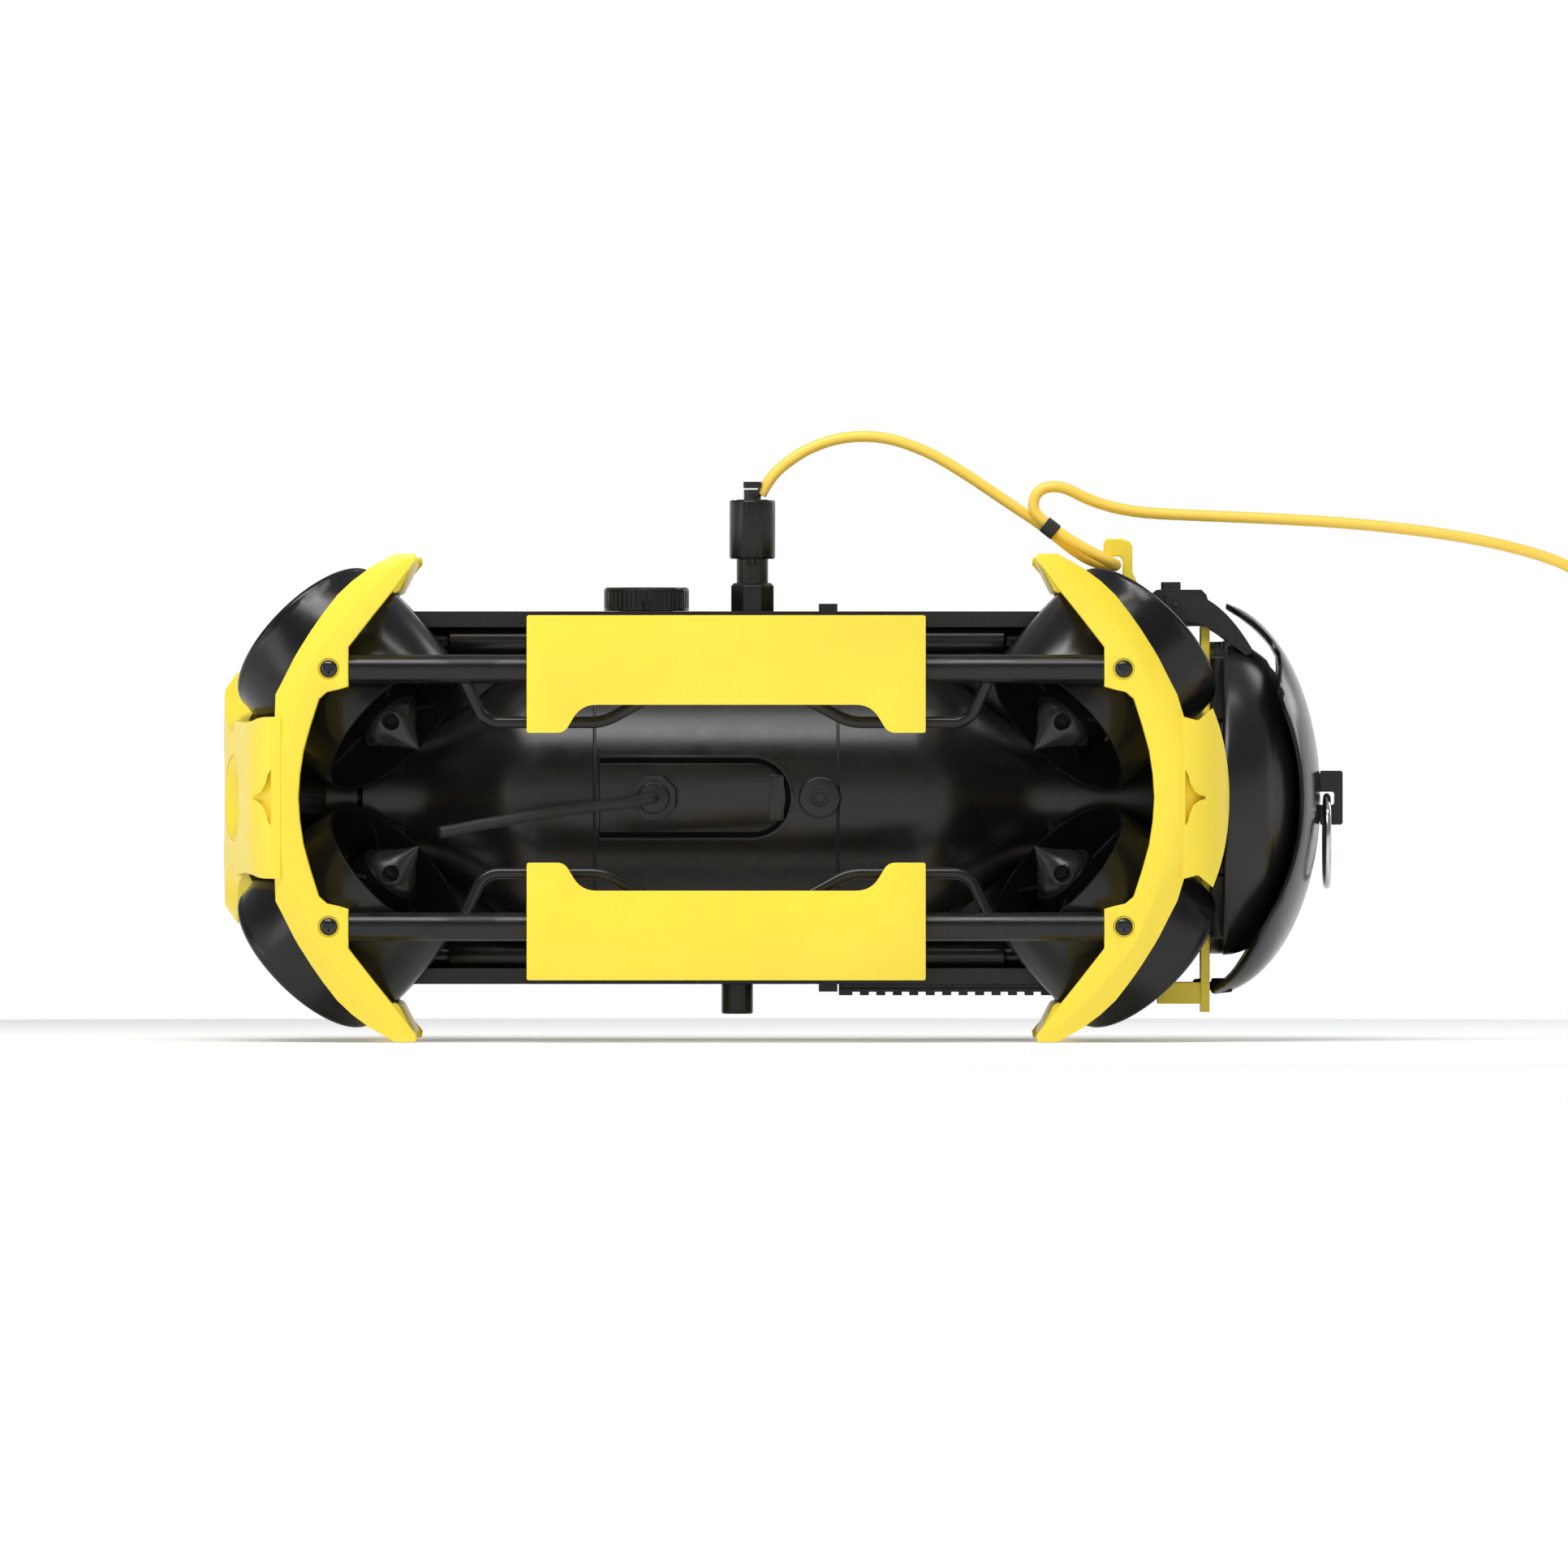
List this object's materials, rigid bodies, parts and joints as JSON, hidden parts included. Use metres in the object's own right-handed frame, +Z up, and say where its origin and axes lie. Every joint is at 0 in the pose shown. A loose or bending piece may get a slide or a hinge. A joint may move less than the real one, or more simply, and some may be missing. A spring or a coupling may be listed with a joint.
{
  "type": "tethered underwater drone",
  "caption": "Tethered underwater drone: torpedo-shaped black hull, vectored ducted thrusters, yellow bumpers and side grips, domed tail with tow ring and a drooping tether.",
  "frame": {"origin": "middle of the underside, on the plane that the lower bumper tips stand on, tether left out", "axes": "+X from nose to tail, -Y port, +Z up"},
  "size_m": [1.03, 0.294, 0.3701],
  "materials": {
    "hull_black": "satin black hull shell",
    "frame_black": "semi-gloss black powder coat",
    "duct_black": "semi-gloss moulded black",
    "propeller_grey": "satin dark grey",
    "motor_dark": "dark anodised",
    "bumper_yellow": "satin bright yellow",
    "rubber_black": "matte rubber",
    "screw_black": "blackened steel",
    "cord_yellow": "satin yellow-orange jacket",
    "lens_clear": "clear polished",
    "battery_blue": "shrink wrap",
    "board_green": "circuit boards",
    "ring_steel": "dark stainless",
    "lamp_alu": "satin reflector"
  },
  "bodies": {
    "root": {"hull_center": "hull_black", "hull_front_cone": "hull_black", "hull_rear_cone": "hull_black", "hull_seals": "rubber_black", "battery_pack": "battery_blue", "electronics_tray": "board_green", "hatch_cover": "hull_black", "cable_gland": "screw_black", "thruster_cable": "rubber_black", "thruster_motors": "motor_dark", "duct_front_upper_port": "duct_black", "duct_front_lower_port": "duct_black", "duct_front_upper_starboard": "duct_black", "duct_front_lower_starboard": "duct_black", "duct_rear_upper_port": "duct_black", "duct_rear_lower_port": "duct_black", "duct_rear_upper_starboard": "duct_black", "duct_rear_lower_starboard": "duct_black", "front_arms": "bumper_yellow", "rear_arms": "bumper_yellow", "crossbars": "bumper_yellow", "front_nose": "bumper_yellow", "rear_yoke": "bumper_yellow", "camera_unit": "hull_black", "camera_window": "lens_clear", "headlights": "lamp_alu", "headlight_lenses": "lens_clear", "spine_rails": "frame_black", "accessory_rail": "frame_black", "bottom_plug": "frame_black", "side_tubes": "frame_black", "side_grips_port": "bumper_yellow", "side_grips_starboard": "bumper_yellow", "fasteners": "screw_black", "tail_plate": "bumper_yellow", "tail_dome": "hull_black", "tail_guard": "duct_black", "tow_boss": "frame_black", "latch_bracket": "duct_black", "tether_hook": "bumper_yellow", "tether_socket": "frame_black", "tether_plug": "frame_black", "tether_tube": "cord_yellow", "tether_coil": "cord_yellow", "tether_tie": "rubber_black", "tether_end_plug": "frame_black"},
    "propeller_front_upper_port": {"propeller_front_upper_port": "propeller_grey"},
    "propeller_front_lower_port": {"propeller_front_lower_port": "propeller_grey"},
    "propeller_front_upper_starboard": {"propeller_front_upper_starboard": "propeller_grey"},
    "propeller_front_lower_starboard": {"propeller_front_lower_starboard": "propeller_grey"},
    "propeller_rear_upper_port": {"propeller_rear_upper_port": "propeller_grey"},
    "propeller_rear_lower_port": {"propeller_rear_lower_port": "propeller_grey"},
    "propeller_rear_upper_starboard": {"propeller_rear_upper_starboard": "propeller_grey"},
    "propeller_rear_lower_starboard": {"propeller_rear_lower_starboard": "propeller_grey"},
    "charge_cap": {"charge_cap": "frame_black"},
    "vent_plug": {"vent_plug": "frame_black"},
    "tether_sleeve": {"tether_sleeve": "frame_black"},
    "latch_arm": {"latch_arm": "duct_black"},
    "tow_ring": {"tow_ring": "ring_steel"},
    "latch_button": {"latch_button": "duct_black"}
  },
  "joints": [
    {"name": "spin_front_upper_port", "type": "hinge", "parent": "root", "child": "propeller_front_upper_port", "pos_m": [-0.2343, -0.0836, 0.1905], "axis": [-0.6541, 0.38, 0.6541], "continuous": true},
    {"name": "spin_front_lower_port", "type": "hinge", "parent": "root", "child": "propeller_front_lower_port", "pos_m": [-0.2343, -0.0836, 0.1035], "axis": [-0.6541, 0.38, -0.6541], "continuous": true},
    {"name": "spin_front_upper_starboard", "type": "hinge", "parent": "root", "child": "propeller_front_upper_starboard", "pos_m": [-0.2343, 0.0836, 0.1905], "axis": [-0.6541, -0.38, 0.6541], "continuous": true},
    {"name": "spin_front_lower_starboard", "type": "hinge", "parent": "root", "child": "propeller_front_lower_starboard", "pos_m": [-0.2343, 0.0836, 0.1035], "axis": [-0.6541, -0.38, -0.6541], "continuous": true},
    {"name": "spin_rear_upper_port", "type": "hinge", "parent": "root", "child": "propeller_rear_upper_port", "pos_m": [0.1663, -0.0836, 0.1905], "axis": [0.6541, 0.38, 0.6541], "continuous": true},
    {"name": "spin_rear_lower_port", "type": "hinge", "parent": "root", "child": "propeller_rear_lower_port", "pos_m": [0.1663, -0.0836, 0.1035], "axis": [0.6541, 0.38, -0.6541], "continuous": true},
    {"name": "spin_rear_upper_starboard", "type": "hinge", "parent": "root", "child": "propeller_rear_upper_starboard", "pos_m": [0.1663, 0.0836, 0.1905], "axis": [0.6541, -0.38, 0.6541], "continuous": true},
    {"name": "spin_rear_lower_starboard", "type": "hinge", "parent": "root", "child": "propeller_rear_lower_starboard", "pos_m": [0.1663, 0.0836, 0.1035], "axis": [0.6541, -0.38, -0.6541], "continuous": true},
    {"name": "charge_cap_turn", "type": "hinge", "parent": "root", "child": "charge_cap", "pos_m": [-0.0828, 0, 0.2604], "axis": [0, 0, 1], "range_deg": [0, 540]},
    {"name": "vent_plug_turn", "type": "hinge", "parent": "root", "child": "vent_plug", "pos_m": [0.0224, -0.081, 0.147], "axis": [0, -1, 0], "range_deg": [0, 270]},
    {"name": "tether_sleeve_turn", "type": "hinge", "parent": "root", "child": "tether_sleeve", "pos_m": [-0.0185, 0, 0.292], "axis": [0, 0, 1], "range_deg": [0, 120]},
    {"name": "latch_open", "type": "hinge", "parent": "root", "child": "latch_arm", "pos_m": [0.238, 0, 0.2642], "axis": [0, -1, 0], "range_deg": [0, 60]},
    {"name": "tow_ring_swing", "type": "hinge", "parent": "root", "child": "tow_ring", "pos_m": [0.3304, 0, 0.14745], "axis": [0, -1, 0], "range_deg": [-3, 95]},
    {"name": "latch_button_press", "type": "slide", "parent": "root", "child": "latch_button", "axis": [0, 0, -1], "range_m": [0, 0.0022], "stiffness_N_per_m": 800}
  ]
}
